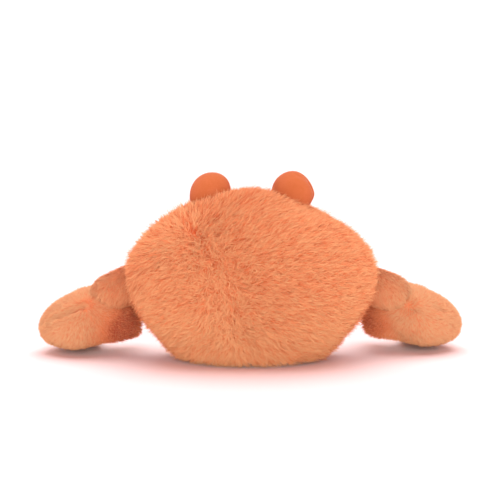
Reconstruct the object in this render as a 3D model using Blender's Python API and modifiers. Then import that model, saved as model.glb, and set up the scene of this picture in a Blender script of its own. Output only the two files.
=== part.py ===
"""A plush crab, 24 cm across its claws.

It is sewn from panels and stuffed: a long-pile panel over the back, a short-pile panel over the
face and belly, two stub arms, two mitten claws of an upper and a lower panel each, and two felt
eye knobs with bead eyes held by washers inside. The crab faces +Y and stands on z = 0.

Each soft form is a ball whose points are carried to a place by a formula. A panel is that form,
hollowed by the same form sunk by the depth of its pile, and trimmed at its seam. The filling is
the form sunk a little further.
"""

from math import atan, radians

import bmesh
import bpy
import numpy as np
from mathutils import Matrix, Vector

# Clearance between pieces that touch, and the room that a cutting block needs on every side
GAP = 0.0003
REACH = 0.4

# Cloth, with its pile
LONG_PILE = 0.0080
SHORT_PILE = 0.0030
FELT = 0.0012

# Body
BODY_WIDTH = 0.1420
BACK_DEPTH = 0.0480
FRONT_DEPTH = 0.0450
CROWN_HEIGHT = 0.0980
WAIST_HEIGHT = 0.0510
BELLY_DROP = 0.0555
CROWN_POWER = 1.74
BELLY_POWER = 2.05
DOME_POWER = 2.20

# Claws, each a mitten that points forwards, with a finger outside and a thumb inside
CLAW_HALF_WIDTH = 0.0312
CLAW_HEEL = 0.0270
FINGER_LENGTH = 0.0440
THUMB_LENGTH = 0.0370
FINGER_ANGLE = radians(25.0)
THUMB_ANGLE = radians(-41.0)
FINGER_HALF_ANGLE = radians(28.0)
NOTCH_ANGLE = radians(-9.0)
NOTCH_HALF_ANGLE = radians(12.0)
NOTCH_FLOOR = 0.0185
CLAW_THICKNESS = 0.0350
CLAW_BESIDE_BODY = 0.0212
CLAW_AHEAD = 0.0325
CLAW_YAW_ANGLE = radians(8.0)
CLAW_ROLL_ANGLE = radians(19.0)
CLAW_PITCH_ANGLE = radians(12.0)
CLAW_PRESS = 0.0012
LEFT_CLAW_BACK = 0.0100

# Arms, from inside the body's side to inside the claw's heel
ARM_ROOT_RADIUS = 0.0125
ARM_WRIST_RADIUS = 0.0108
ARM_ROOT_INSET = 0.0140
ARM_ROOT_AHEAD = 0.0120
ARM_ROOT_DROP = 0.0065
WRIST_IN = 0.0050
WRIST_BACK = 0.0140
WRIST_UP = 0.0120

# Eye knobs
KNOB_WIDTH = 0.0236
KNOB_DEPTH = 0.0170
KNOB_HALF_HEIGHT = 0.0150
KNOB_OUT = 0.0231
KNOB_AHEAD = 0.0040
KNOB_STAND = 0.01256
KNOB_POWER = 2.60

# Bead eyes and their washers
BEAD_RADIUS = 0.0042
BEAD_RISE = 0.0034
BEAD_DROP = 0.0078
SHANK_RADIUS = 0.0014
SHANK_LENGTH = 0.0070
WASHER_RADIUS = 0.0040
WASHER_THICKNESS = 0.0012

# Facets round and along each form
BODY_FACETS = (32, 20)
FILLING_FACETS = (24, 14)
CLAW_FACETS = (36, 12)
ARM_FACETS = (16, 10)
KNOB_FACETS = (18, 12)
TURNED_STEPS = 16

ORANGE_PILE = (0.82, 0.30, 0.12, 1.0)
PALE_PILE = (0.85, 0.37, 0.18, 1.0)
ORANGE_FELT = (0.80, 0.22, 0.08, 1.0)
WHITE_FIBRE = (0.88, 0.87, 0.84, 1.0)
BLACK_PLASTIC = (0.012, 0.010, 0.010, 1.0)
CLEAR_NYLON = (0.80, 0.80, 0.78, 1.0)

SIDES = {"left": -1.0, "right": 1.0}


def clear_scene():
    """Remove every object, so that the crab is alone."""
    for thing in list(bpy.data.objects):
        bpy.data.objects.remove(thing)


def new_collection(name):
    """A collection of the scene."""
    made = bpy.data.collections.new(name)
    bpy.context.scene.collection.children.link(made)
    return made


def new_material(name, colour, roughness, metallic=0.0):
    """A Principled material."""
    made = bpy.data.materials.new(name)
    made.use_nodes = True
    shader = made.node_tree.nodes["Principled BSDF"]
    shader.inputs["Base Color"].default_value = colour
    shader.inputs["Roughness"].default_value = roughness
    shader.inputs["Metallic"].default_value = metallic
    made.diffuse_color = colour
    return made


def place_object(name, mesh, collection, parent, material=None):
    """An object for a mesh, in a collection and under the crab's empty."""
    thing = bpy.data.objects.new(name, mesh)
    collection.objects.link(thing)
    thing.parent = parent
    if material:
        mesh.materials.append(material)
    if collection.name == "cutters":
        thing.hide_render = True
        thing.display_type = "WIRE"
    return thing


def ball_mesh(name, facets, poles, shape):
    """A unit ball with its poles along an axis, each point then carried to shape(point)."""
    turn = {"X": Matrix.Rotation(radians(90), 4, "Y"), "Y": Matrix.Rotation(radians(-90), 4, "X"),
            "Z": Matrix.Identity(4)}[poles]
    form = bmesh.new()
    bmesh.ops.create_uvsphere(form, u_segments=facets[0], v_segments=facets[1], radius=1.0, matrix=turn)
    unit = np.array([point.co for point in form.verts])
    for point, place in zip(form.verts, shape(unit)):
        point.co = Vector(place)
    if form.calc_volume(signed=True) < 0.0:
        bmesh.ops.reverse_faces(form, faces=form.faces)
    bmesh.ops.triangulate(form, faces=form.faces)
    mesh = bpy.data.meshes.new(name)
    form.to_mesh(mesh)
    form.free()
    mesh.shade_smooth()
    return mesh


def swell(thing, distance, group=""):
    """Move a form's surface along its normals: outwards, or inwards where the distance is negative."""
    step = thing.modifiers.new("swell", "DISPLACE")
    step.direction = "NORMAL"
    step.mid_level = 0.0
    step.strength = distance
    step.vertex_group = group


def cut(thing, tool, operation="DIFFERENCE"):
    """Cut a piece with a tool, or keep only what lies inside the tool."""
    step = thing.modifiers.new("cut " + tool.name, "BOOLEAN")
    step.operation = operation
    step.object = tool
    step.solver = "EXACT"


def block(name, low, high, frame, collection, parent):
    """A box between two corners of a frame, to cut with."""
    form = bmesh.new()
    bmesh.ops.create_cube(form, size=1.0)
    middle = (Vector(low) + Vector(high)) / 2.0
    size = Vector(high) - Vector(low)
    bmesh.ops.scale(form, vec=size, verts=form.verts)
    bmesh.ops.translate(form, vec=middle, verts=form.verts)
    bmesh.ops.transform(form, matrix=frame, verts=form.verts)
    mesh = bpy.data.meshes.new(name)
    form.to_mesh(mesh)
    form.free()
    return place_object(name, mesh, collection, parent)


def press_on_floor(places):
    """Flatten what would reach below the floor."""
    pressed = places.copy()
    pressed[:, 2] = np.maximum(pressed[:, 2], 0.0)
    return pressed


def body_shape(unit):
    """The body: from the middle of its waist, each direction reaches the surface where the sum of
    its powered width, height and depth is one. The crown is a little peaked, the belly is full,
    and the floor presses the underside flat."""
    depth = np.where(unit[:, 1] < 0.0, BACK_DEPTH, FRONT_DEPTH)
    rise = np.where(unit[:, 2] > 0.0, CROWN_HEIGHT - WAIST_HEIGHT, BELLY_DROP)
    power = np.where(unit[:, 2] > 0.0, CROWN_POWER, BELLY_POWER)
    across = np.abs(unit[:, 0]) / (BODY_WIDTH / 2.0)
    upright = np.abs(unit[:, 2]) / rise
    outline = (across ** power + upright ** power) ** (1.0 / power)
    through = np.abs(unit[:, 1]) / depth
    reach = 1.0 / (outline ** DOME_POWER + through ** DOME_POWER) ** (1.0 / DOME_POWER)
    places = unit * reach[:, None]
    places[:, 2] += WAIST_HEIGHT
    return press_on_floor(places)


def claw_outline(angle):
    """How far a claw's seam lies from its middle: a rounded palm, a finger and a thumb that reach
    further, and a notch between them. The angle is from straight ahead, outwards."""
    ahead = np.maximum(np.cos(angle), 0.0)
    palm = 1.0 / np.sqrt((np.sin(angle) / CLAW_HALF_WIDTH) ** 2 + (np.cos(angle) / CLAW_HEEL) ** 2)
    finger = (FINGER_LENGTH - CLAW_HEEL) * np.exp(-((angle - FINGER_ANGLE) / FINGER_HALF_ANGLE) ** 2)
    thumb = (THUMB_LENGTH - CLAW_HEEL) * np.exp(-((angle - THUMB_ANGLE) / FINGER_HALF_ANGLE) ** 2)
    reach = palm + ahead * np.maximum(finger, thumb)
    notch = np.exp(-((angle - NOTCH_ANGLE) / NOTCH_HALF_ANGLE) ** 2)
    return reach + (NOTCH_FLOOR - reach) * notch


def claw_frame(side):
    """The turn of a claw: its toes a little inwards, its outer edge down and its tips down."""
    yaw = Matrix.Rotation(CLAW_YAW_ANGLE * side, 4, "Z")
    roll = Matrix.Rotation(CLAW_ROLL_ANGLE * side, 4, "Y")
    pitch = Matrix.Rotation(-CLAW_PITCH_ANGLE, 4, "X")
    return yaw @ roll @ pitch


def claw_points(unit, side):
    """A claw about its own middle: the seam outline in plan, puffed up to its full thickness."""
    angle = np.arctan2(unit[:, 0] * side, unit[:, 1])
    flat = np.hypot(unit[:, 0], unit[:, 1])
    reach = claw_outline(angle) * flat ** 0.9
    lift = CLAW_THICKNESS / 2.0 * np.sign(unit[:, 2]) * np.abs(unit[:, 2]) ** 0.9
    local = np.stack([reach * np.sin(angle) * side, reach * np.cos(angle), lift], axis=1)
    turn = np.array(claw_frame(side).to_3x3())
    return local @ turn.T


def claw_middle(side):
    """Where a claw's middle is: it rests on the floor, pressed a little flat."""
    turn = ball_directions(CLAW_FACETS)
    lowest = claw_points(turn, side)[:, 2].min()
    back = LEFT_CLAW_BACK if side < 0 else 0.0
    out = BODY_WIDTH / 2.0 + CLAW_BESIDE_BODY
    return Vector((out * side, CLAW_AHEAD - back, -lowest - CLAW_PRESS))


def ball_directions(facets):
    """Directions all over a ball, to measure a form by."""
    round_angle = np.linspace(0.0, 2.0 * np.pi, facets[0] * 2, endpoint=False)
    height_angle = np.linspace(-np.pi / 2.0, np.pi / 2.0, facets[1] * 2 + 1)
    round_grid, height_grid = np.meshgrid(round_angle, height_angle)
    return np.stack([np.cos(height_grid) * np.cos(round_grid), np.cos(height_grid) * np.sin(round_grid),
                     np.sin(height_grid)], axis=-1).reshape(-1, 3)


def arm_ends(side):
    """The middle of an arm's two ends: inside the body's side, and inside the claw's heel."""
    root_height = WAIST_HEIGHT - ARM_ROOT_DROP
    root = Vector(((BODY_WIDTH / 2.0 - ARM_ROOT_INSET) * side, ARM_ROOT_AHEAD, root_height))
    wrist = claw_middle(side) + Vector((-WRIST_IN * side, -WRIST_BACK, WRIST_UP))
    return root, wrist


def arm_shape(unit, side):
    """An arm: a barrel from root to wrist that tapers, with rounded ends."""
    root, wrist = arm_ends(side)
    along = (wrist - root).normalized()
    outward = Vector((0.0, 0.0, 1.0)) - along * along.z
    outward.normalize()
    across = along.cross(outward)
    share = (unit[:, 0] * side + 1.0) / 2.0
    radius = ARM_ROOT_RADIUS + (ARM_WRIST_RADIUS - ARM_ROOT_RADIUS) * share
    round_off = (1.0 - unit[:, 0] ** 4) ** 0.5 / np.maximum(np.hypot(unit[:, 1], unit[:, 2]), 1e-9)
    middle = np.array(root) + share[:, None] * np.array(wrist - root)
    ring = unit[:, 2:3] * np.array(outward) + unit[:, 1:2] * np.array(across)
    return middle + ring * (radius * round_off)[:, None]


def knob_shape(unit, side):
    """An eye knob: full-sided seen from behind, and a plain dome in depth."""
    outline = (np.abs(unit[:, 0] / (KNOB_WIDTH / 2.0)) ** KNOB_POWER
               + np.abs(unit[:, 2] / KNOB_HALF_HEIGHT) ** KNOB_POWER) ** (1.0 / KNOB_POWER)
    through = np.abs(unit[:, 1]) / (KNOB_DEPTH / 2.0)
    reach = 1.0 / np.sqrt(outline ** 2 + through ** 2)
    return unit * reach[:, None] + np.array(knob_middle(side))


def crown_over(out, ahead):
    """How high the body's crown is over a spot that lies so far out and ahead of its middle."""
    reach = 1.0 - (ahead / FRONT_DEPTH) ** DOME_POWER
    outline = reach ** (CROWN_POWER / DOME_POWER)
    upright = outline - (out / (BODY_WIDTH / 2.0)) ** CROWN_POWER
    return WAIST_HEIGHT + (CROWN_HEIGHT - WAIST_HEIGHT) * upright ** (1.0 / CROWN_POWER)


def knob_middle(side):
    """The middle of an eye knob, whose top stands up from the crown below it."""
    top = crown_over(KNOB_OUT, KNOB_AHEAD) + KNOB_STAND
    return Vector((KNOB_OUT * side, KNOB_AHEAD, top - KNOB_HALF_HEIGHT))


def turned_mesh(name, outline):
    """A closed profile of (radius, height) points, turned about Z by a Screw."""
    form = bmesh.new()
    points = [form.verts.new((radius, 0.0, height)) for radius, height in outline]
    for first, second in zip(points, points[1:]):
        form.edges.new((first, second))
    mesh = bpy.data.meshes.new(name)
    form.to_mesh(mesh)
    form.free()
    return mesh


def turn_about_axis(thing):
    """Turn a profile all the way round and close it."""
    screw = thing.modifiers.new("turn", "SCREW")
    screw.axis = "Z"
    screw.steps = TURNED_STEPS
    screw.render_steps = TURNED_STEPS
    screw.use_merge_vertices = True
    screw.merge_threshold = 0.00001


class Workshop:
    """The collections, materials and empty that every piece needs."""

    def __init__(self):
        self.pieces = new_collection("plush_crab")
        self.tools = new_collection("cutters")
        self.origin = bpy.data.objects.new("crab", None)
        self.pieces.objects.link(self.origin)
        self.long_pile = new_material("long_pile", ORANGE_PILE, 0.9)
        self.short_pile = new_material("short_pile", PALE_PILE, 0.9)
        self.felt = new_material("felt", ORANGE_FELT, 0.85)
        self.fibre = new_material("fibre", WHITE_FIBRE, 0.95)
        self.black = new_material("black_plastic", BLACK_PLASTIC, 0.15)
        self.nylon = new_material("nylon", CLEAR_NYLON, 0.4)

    def form(self, name, mesh, distance=0.0):
        """A form to cut with, swollen or sunk by a distance."""
        made = place_object(name, mesh, self.tools, self.origin)
        if distance:
            swell(made, distance)
        return made

    def piece(self, name, mesh, material):
        """A piece of the crab."""
        return place_object(name, mesh, self.pieces, self.origin, material)

    def slab(self, name, low, high, frame=None):
        """A block to trim a panel with."""
        return block(name, low, high, frame or Matrix.Identity(4), self.tools, self.origin)


def make_body(shop):
    """The two body panels, which meet at the waist seam in the plane y = 0, and the filling."""
    def fresh(name, facets=BODY_FACETS):
        return ball_mesh(name, facets, "Y", body_shape)

    back = shop.piece("body_back_panel", fresh("body_back_panel"), shop.long_pile)
    cut(back, shop.slab("behind_seam", (-REACH, -REACH, -REACH), (REACH, -GAP / 2.0, REACH)), "INTERSECT")
    cut(back, shop.form("back_hollow", fresh("back_hollow", FILLING_FACETS), -LONG_PILE))

    front = shop.piece("body_front_panel", fresh("body_front_panel"), shop.short_pile)
    cut(front, shop.slab("before_seam", (-REACH, GAP / 2.0, -REACH), (REACH, REACH, REACH)), "INTERSECT")
    cut(front, shop.form("front_hollow", fresh("front_hollow", FILLING_FACETS), -SHORT_PILE))

    filling = shop.piece("body_filling", fresh("body_filling", FILLING_FACETS), shop.fibre)
    reach = LONG_PILE + GAP
    group = filling.vertex_groups.new(name="depth")
    for point in filling.data.vertices:
        under_front = point.co.y > LONG_PILE
        group.add([point.index], (SHORT_PILE + GAP) / reach if under_front else 1.0, "REPLACE")
    swell(filling, -reach, "depth")
    return shop.form("body_bed", fresh("body_bed"), GAP)


def make_claw(shop, name, side):
    """A claw's upper and lower panel, which meet at the seam all round, and its filling."""
    middle = claw_middle(side)

    def shape(unit):
        return press_on_floor(claw_points(unit, side) + np.array(middle))

    def fresh(label):
        return ball_mesh(name + label, CLAW_FACETS, "Z", shape)

    frame = Matrix.Translation(middle) @ claw_frame(side)
    upper = shop.piece(name + "_claw_upper_panel", fresh("_claw_upper_panel"), shop.short_pile)
    lower = shop.piece(name + "_claw_lower_panel", fresh("_claw_lower_panel"), shop.short_pile)
    above = shop.slab(name + "_above_seam", (-REACH, -REACH, GAP / 2.0), (REACH, REACH, REACH), frame)
    below = shop.slab(name + "_below_seam", (-REACH, -REACH, -REACH), (REACH, REACH, -GAP / 2.0), frame)
    hollow = shop.form(name + "_claw_hollow", fresh("_claw_hollow"), -SHORT_PILE)
    for panel, half in ((upper, above), (lower, below)):
        cut(panel, half, "INTERSECT")
        cut(panel, hollow)
    filling = shop.piece(name + "_claw_filling", fresh("_claw_filling"), shop.fibre)
    swell(filling, -SHORT_PILE - GAP)
    return shop.form(name + "_claw_bed", fresh("_claw_bed"), GAP)


def make_arm(shop, name, side, body_bed, claw_bed):
    """An arm's sleeve, open where it is sewn to the body and to the claw, and its filling."""
    def fresh(label):
        return ball_mesh(name + label, ARM_FACETS, "X", lambda unit: arm_shape(unit, side))

    sleeve = shop.piece(name + "_arm_sleeve", fresh("_arm_sleeve"), shop.short_pile)
    filling = shop.piece(name + "_arm_filling", fresh("_arm_filling"), shop.fibre)
    swell(filling, -SHORT_PILE - GAP)
    for soft in (sleeve, filling):
        cut(soft, body_bed)
        cut(soft, claw_bed)
    cut(sleeve, shop.form(name + "_arm_hollow", fresh("_arm_hollow"), -SHORT_PILE))


def make_eye(shop, name, side, body_bed):
    """An eye knob's two felt panels and filling, the bead eye in its front, and the washer that
    holds the bead's shank inside."""
    middle = knob_middle(side)

    def fresh(label):
        return ball_mesh(name + label, KNOB_FACETS, "Y", lambda unit: knob_shape(unit, side))

    rise = KNOB_HALF_HEIGHT - BEAD_DROP
    forward = KNOB_DEPTH / 2.0 * (1.0 - (rise / KNOB_HALF_HEIGHT) ** 2) ** 0.5
    slope = (rise / KNOB_HALF_HEIGHT ** 2) / (forward / (KNOB_DEPTH / 2.0) ** 2)
    spot = middle + Vector((0.0, forward, rise))
    aim = Matrix.Translation(spot) @ Matrix.Rotation(atan(slope) - radians(90.0), 4, "X")
    knob_bend = (KNOB_WIDTH / 2.0) ** 2 / (KNOB_DEPTH / 2.0)

    def turned(label, outline, material):
        made = shop.piece(name + label, turned_mesh(name + label, outline), material)
        made.matrix_local = aim
        turn_about_axis(made)
        return made

    seat = GAP
    arc = np.linspace(0.0, np.pi / 2.0, 6)
    dome = [(BEAD_RADIUS * np.sin(step), seat + BEAD_RISE * np.cos(step)) for step in arc]
    washer_front = -FELT - WASHER_RADIUS ** 2 / (2.0 * knob_bend) - 2.0 * GAP
    tip = seat - SHANK_LENGTH
    turned("_eye_bead", dome + [(SHANK_RADIUS, seat), (SHANK_RADIUS, tip), (0.0, tip)], shop.black)
    bore = SHANK_RADIUS + GAP
    washer_back = washer_front - WASHER_THICKNESS
    ring = [(bore, washer_front), (WASHER_RADIUS, washer_front), (WASHER_RADIUS, washer_back),
            (bore, washer_back), (bore, washer_front)]
    turned("_eye_washer", ring, shop.nylon)

    def plug(label, radius, low, high):
        made = shop.form(name + label, turned_mesh(name + label, [(0.0, high), (radius, high), (radius, low),
                                                                 (0.0, low)]))
        made.matrix_local = aim
        turn_about_axis(made)
        return made

    shank_hole = plug("_shank_hole", bore, tip - GAP, KNOB_DEPTH)
    washer_pocket = plug("_washer_pocket", WASHER_RADIUS + GAP, washer_back - GAP, KNOB_DEPTH)

    hollow = shop.form(name + "_knob_hollow", fresh("_knob_hollow"), -FELT)
    seam = KNOB_AHEAD
    behind = shop.slab(name + "_knob_behind", (-REACH, -REACH, -REACH), (REACH, seam - GAP / 2.0, REACH))
    before = shop.slab(name + "_knob_before", (-REACH, seam + GAP / 2.0, -REACH), (REACH, REACH, REACH))
    back = shop.piece(name + "_eye_knob_back", fresh("_eye_knob_back"), shop.felt)
    front = shop.piece(name + "_eye_knob_front", fresh("_eye_knob_front"), shop.felt)
    for panel, half in ((back, behind), (front, before)):
        cut(panel, body_bed)
        cut(panel, half, "INTERSECT")
        cut(panel, hollow)
    cut(front, shank_hole)
    filling = shop.piece(name + "_eye_knob_filling", fresh("_eye_knob_filling"), shop.fibre)
    swell(filling, -FELT - GAP)
    cut(filling, body_bed)
    cut(filling, shank_hole)
    cut(filling, washer_pocket)


def centre_on_floor(shop):
    """Move the whole crab so that its origin is in the middle of its footprint."""
    bpy.context.view_layer.update()
    graph = bpy.context.evaluated_depsgraph_get()
    corners = []
    for thing in shop.pieces.objects:
        if thing.type == "MESH":
            ready = thing.evaluated_get(graph)
            corners += [ready.matrix_world @ Vector(corner) for corner in ready.bound_box]
    for axis in (0, 1):
        values = [corner[axis] for corner in corners]
        shop.origin.location[axis] = -(min(values) + max(values)) / 2.0
    bpy.context.view_layer.update()


def main():
    """Make the crab."""
    clear_scene()
    shop = Workshop()
    body_bed = make_body(shop)
    for name, side in SIDES.items():
        claw_bed = make_claw(shop, name, side)
        make_arm(shop, name, side, body_bed, claw_bed)
        make_eye(shop, name, side, body_bed)
    centre_on_floor(shop)


main()
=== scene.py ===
"""A plush crab seen from behind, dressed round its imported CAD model.

Each stuffed form is one closed surface worked out as arrays. Its skin lies below that surface by
the depth of the pile, and the pile is planted on the skin as thin tapered ribbons in tufts.
"""

from math import cos, pi, radians, sin

import bpy
import numpy as np
from bpy.props import FloatProperty, FloatVectorProperty, IntProperty, PointerProperty
from mathutils import Matrix, Vector


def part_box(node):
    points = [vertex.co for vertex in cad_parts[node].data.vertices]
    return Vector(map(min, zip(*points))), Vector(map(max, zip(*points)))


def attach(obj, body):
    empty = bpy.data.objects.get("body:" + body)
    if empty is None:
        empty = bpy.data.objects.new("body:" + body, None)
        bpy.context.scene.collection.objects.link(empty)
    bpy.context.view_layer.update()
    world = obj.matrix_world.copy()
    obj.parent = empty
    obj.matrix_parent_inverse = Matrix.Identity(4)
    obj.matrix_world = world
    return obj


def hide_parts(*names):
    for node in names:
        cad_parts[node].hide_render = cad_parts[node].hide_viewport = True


bl_info = {
    "name": "Plush Crab",
    "version": (1, 0, 0),
    "blender": (4, 5, 0),
    "location": "View3D > Sidebar > Plush Crab",
    "description": "Sews, stuffs and brushes a plush crab from its panels",
    "category": "Add Mesh",
}

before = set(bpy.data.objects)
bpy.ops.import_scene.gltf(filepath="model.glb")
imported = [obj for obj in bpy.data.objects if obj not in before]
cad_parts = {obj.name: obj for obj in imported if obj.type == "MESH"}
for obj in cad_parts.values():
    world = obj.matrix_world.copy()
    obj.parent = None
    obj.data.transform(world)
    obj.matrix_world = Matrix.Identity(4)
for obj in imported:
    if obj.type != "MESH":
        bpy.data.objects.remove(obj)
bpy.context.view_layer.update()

# Where the CAD model has its seam plane and its middle
GAP = 0.0003
BACK_LOW, BACK_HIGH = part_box("body_back_panel")
SEAM_Y = BACK_HIGH.y + GAP / 2.0
MIDDLE_X = (BACK_LOW.x + BACK_HIGH.x) / 2.0

# The two sides. Values below that differ between them are kept by these numbers.
SIDES = {"left": -1.0, "right": 1.0}

# The body's form, as in the CAD model
BODY_WIDTH = 0.142
BACK_DEPTH = 0.048
FRONT_DEPTH = 0.045
CROWN_HEIGHT = 0.098
WAIST_HEIGHT = 0.051
BELLY_DROP = 0.0555
CROWN_POWER = 1.74
BELLY_POWER = 2.05
DOME_POWER = 2.2

# The claws' form, as in the CAD model
CLAW_HALF_WIDTH = 0.0312
CLAW_HEEL = 0.027
FINGER_LENGTH = 0.044
THUMB_LENGTH = 0.037
FINGER_ANGLE = radians(25.0)
THUMB_ANGLE = radians(-41.0)
FINGER_HALF_ANGLE = radians(28.0)
NOTCH_ANGLE = radians(-9.0)
NOTCH_HALF_ANGLE = radians(12.0)
NOTCH_FLOOR = 0.0185
CLAW_THICKNESS = 0.035
PUFF_POWER = 0.9
CLAW_BESIDE_BODY = 0.0212
CLAW_AHEAD = 0.0325
CLAW_YAW = radians(8.0)
CLAW_ROLL = radians(19.0)
CLAW_PITCH = radians(12.0)
CLAW_PRESS = 0.0012
LEFT_CLAW_BACK = 0.01

# The arms' form, as in the CAD model
ARM_ROOT_RADIUS = 0.0125
ARM_WRIST_RADIUS = 0.0122
ARM_ROOT_INSET = 0.014
ARM_ROOT_AHEAD = 0.012
ARM_ROOT_DROP = 0.0065
WRIST_IN = 0.005
WRIST_BACK = 0.014
WRIST_UP = 0.012

# How far an arm's ends lie from their places in the CAD model
ARM_ROOT_SHIFT = {-1.0: (0.0, -0.002, 0.0025), 1.0: (0.0, -0.002, 0.0)}
WRIST_SHIFT = (0.0034, 0.001, -0.001)

# How the hollow between an arm and its claw is rounded off, and from what height up
JOINT_BLEND = 0.0038
JOINT_LOW = 0.026
JOINT_EASE = 0.012

# The eye knobs' form, rounder than in the CAD model
KNOB_WIDTH = 0.0236
KNOB_DEPTH = 0.017
KNOB_HALF_HEIGHT = 0.0122
KNOB_OUT = 0.0231
KNOB_AHEAD = 0.004
KNOB_TOP = 0.1065
KNOB_POWER = 2.1
KNOB_LEAN = {-1.0: 0.1, 1.0: 0.0}
KNOB_TURN = {-1.0: 0.0, 1.0: radians(-14.0)}

# How far the underside spreads on the floor, and up to what height
SAG_HEIGHT = 0.015
SAG_SPREAD = 0.32

# Bulges and dents of the stuffed forms, from the middle of the seam plane on the floor: the middle
# of each, how far it reaches, and how far and which way it moves the cloth
BODY_PUSHES = (
    ((0.04, -0.008, 0.088), 0.02, (-0.0022, 0.0, -0.0028)),
    ((0.062, -0.01, 0.026), 0.012, (-0.0016, 0.0, 0.0)),
    ((-0.062, -0.01, 0.026), 0.012, (0.0016, 0.0, 0.0)),
    ((0.058, 0.02, 0.02), 0.014, (0.005, 0.0, -0.002)),
    ((-0.058, 0.02, 0.02), 0.014, (-0.0055, 0.0, -0.002)),
)
CLAW_PUSHES = {
    -1.0: (
        ((-0.07, 0.004, 0.018), 0.013, (0.0076, 0.0095, -0.0086)),
        ((-0.081, 0.004, 0.01), 0.009, (0.0, 0.0, -0.002)),
        ((-0.1, 0.004, 0.007), 0.012, (0.0, -0.002, -0.003)),
        ((-0.121, 0.02, 0.011), 0.01, (-0.0012, 0.0, -0.0005)),
    ),
    1.0: (
        ((0.07, 0.014, 0.018), 0.013, (-0.0056, 0.009, -0.0078)),
        ((0.077, 0.014, 0.01), 0.01, (-0.0015, 0.0, -0.0024)),
        ((0.1, 0.014, 0.007), 0.012, (0.0, -0.002, -0.0025)),
        ((0.121, 0.03, 0.011), 0.01, (0.001, 0.0, -0.0005)),
    ),
}
KNOB_PUSHES = {
    -1.0: (),
    1.0: (
        ((0.035, 0.004, 0.0945), 0.0045, (0.0012, 0.0, 0.0)),
        ((0.024, 0.004, 0.106), 0.008, (0.0, 0.0, 0.0008)),
    ),
}

# Creases, from the same middle: the points of each, its width and its depth. A claw's first is
# its creased seam.
CLAW_CREASES = {
    -1.0: (
        (((-0.1175, 0.0081, 0.0196), (-0.1142, 0.005, 0.0233), (-0.1067, 0.0001, 0.027),
          (-0.1004, -0.0009, 0.0305), (-0.0933, -0.0018, 0.0324)), 0.0014, 0.0019),
        (((-0.086, -0.001, 0.023), (-0.087, 0.001, 0.015), (-0.0872, 0.008, 0.008)),
         0.003, 0.0012),
    ),
    1.0: (
        (((0.1115, 0.014, 0.0268), (0.105, 0.0111, 0.0301)), 0.0015, 0.0012),
        (((0.09, 0.0068, 0.0302), (0.0888, 0.0066, 0.0296)), 0.0034, 0.0012),
        (((0.08, 0.012, 0.013), (0.0864, 0.016, 0.0085)), 0.0022, 0.0014),
    ),
}
ARM_CREASES = {
    -1.0: ((((-0.073, -0.001, 0.049), (-0.0815, -0.002, 0.0445)), 0.0018, 0.0016),),
    1.0: ((((0.071, 0.001, 0.048), (0.076, 0.001, 0.045)), 0.0018, 0.0012),),
}
KNOB_CREASES = {
    -1.0: (),
    1.0: (
        (((0.0262, -0.0002, 0.105), (0.031, 0.0005, 0.1012), (0.0347, 0.0025, 0.0965)),
         0.0011, 0.0009),
    ),
}

# Stitched seams: the width of each as a share of its form, its depth, and its stitches all round
BODY_SEAM = (0.035, 0.0012, 90.0)
CLAW_SEAM = (0.05, 0.0004, 60.0)
KNOB_SEAM = (0.09, 0.0006, 30.0)

# How deep below a form's surface its cloth's face, its cloth's back and its stuffing lie
LONG_DEPTHS = (0.0046, 0.0078, 0.0084)
SHORT_DEPTHS = (0.0024, 0.003, 0.0036)
FELT_THICKNESS = 0.0012

# Where the pile parts, from the same middle: down the back, and at the gathers of each claw
BACK_PARTING = (
    (-0.037, -0.03, 0.08), (-0.027, -0.04, 0.069), (-0.02, -0.046, 0.056),
    (-0.015, -0.0451, 0.04), (-0.011, -0.039, 0.019),
)
PARTING_REACH = 0.018
PARTING_CORE = 0.008
CLAW_PINCH = {-1.0: (-0.0933, -0.0018, 0.0324), 1.0: (0.0894, 0.0068, 0.0298)}
PINCH_REACH = 0.003

# Painted shade in the cleft under each claw's inner side: its middle, how far it reaches, and how dark it
# is painted
CLAW_CLEFT = {-1.0: (-0.0745, 0.01, 0.018), 1.0: (0.071, 0.022, 0.019)}
CLEFT_REACH = 0.014
CLEFT_SHADE = {-1.0: 1.7, 1.0: 1.15}

# The ribbons of each pile: how many steps and which tufts they have, how far they swing, stray and
# lean by tuft and by chance, and how they curl, vary in length, draw together and roll
LONG_STYLE = {
    "steps": 3, "tuft": 0.00072, "seed": 21, "stray": 0.14, "wave": 0.4,
    "lean_luck": radians(9.0), "lean_stray": radians(9.0),
    "curl": radians(34.0), "uneven": 0.35, "draw": 0.65, "roll": 1.1,
}
FACE_STYLE = {
    "steps": 2, "tuft": 0.0016, "seed": 22, "swing": 0.25, "stray": 0.15, "wave": 0.1,
    "lean_luck": radians(8.0), "lean_stray": radians(8.0),
    "curl": radians(30.0), "uneven": 0.3, "draw": 0.4, "roll": 1.0,
}
SHORT_STYLE = {
    "steps": 2, "tuft": 0.0007, "seed": 31, "swing": 0.3, "stray": 0.16, "wave": 0.1,
    "lean_luck": radians(5.0), "lean_stray": radians(6.0),
    "curl": radians(24.0), "uneven": 0.3, "draw": 0.15, "roll": 0.7,
}
LONG_WIDTH = 0.00033
FACE_WIDTH = 0.0005
SHORT_WIDTH = 0.0003
SHORT_LEAN = radians(52.0)
MOST_LEAN = radians(97.0)
FLOOR_CLEARANCE = 0.0002

# The pile's colour map: its columns, and the tints at its first column and its last
# Tints below nought run from the deep colour into the darkest one, which serves dark strands by chance and
# painted shade
TINT_COLUMNS = 64
TINT_LOWEST = -0.5
TINT_HIGHEST = 1.0

# How strongly a form's rings gather at its seam
RINGS_TO_SEAM = 0.45

# Colours of the backing, fibre, beads and washers, deep and pale, and the short pile's dye
LONG_BACKING = ((0.8, 0.235, 0.08), (0.84, 0.29, 0.105))
FIBRE_WHITE = ((0.8, 0.79, 0.76), (0.92, 0.91, 0.88))
BEAD_BLACK = ((0.009, 0.008, 0.008), (0.018, 0.015, 0.014))
NYLON_WHITE = ((0.72, 0.72, 0.7), (0.82, 0.82, 0.8))
SHORT_DYE = (0.88, 0.98, 1.06)

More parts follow.
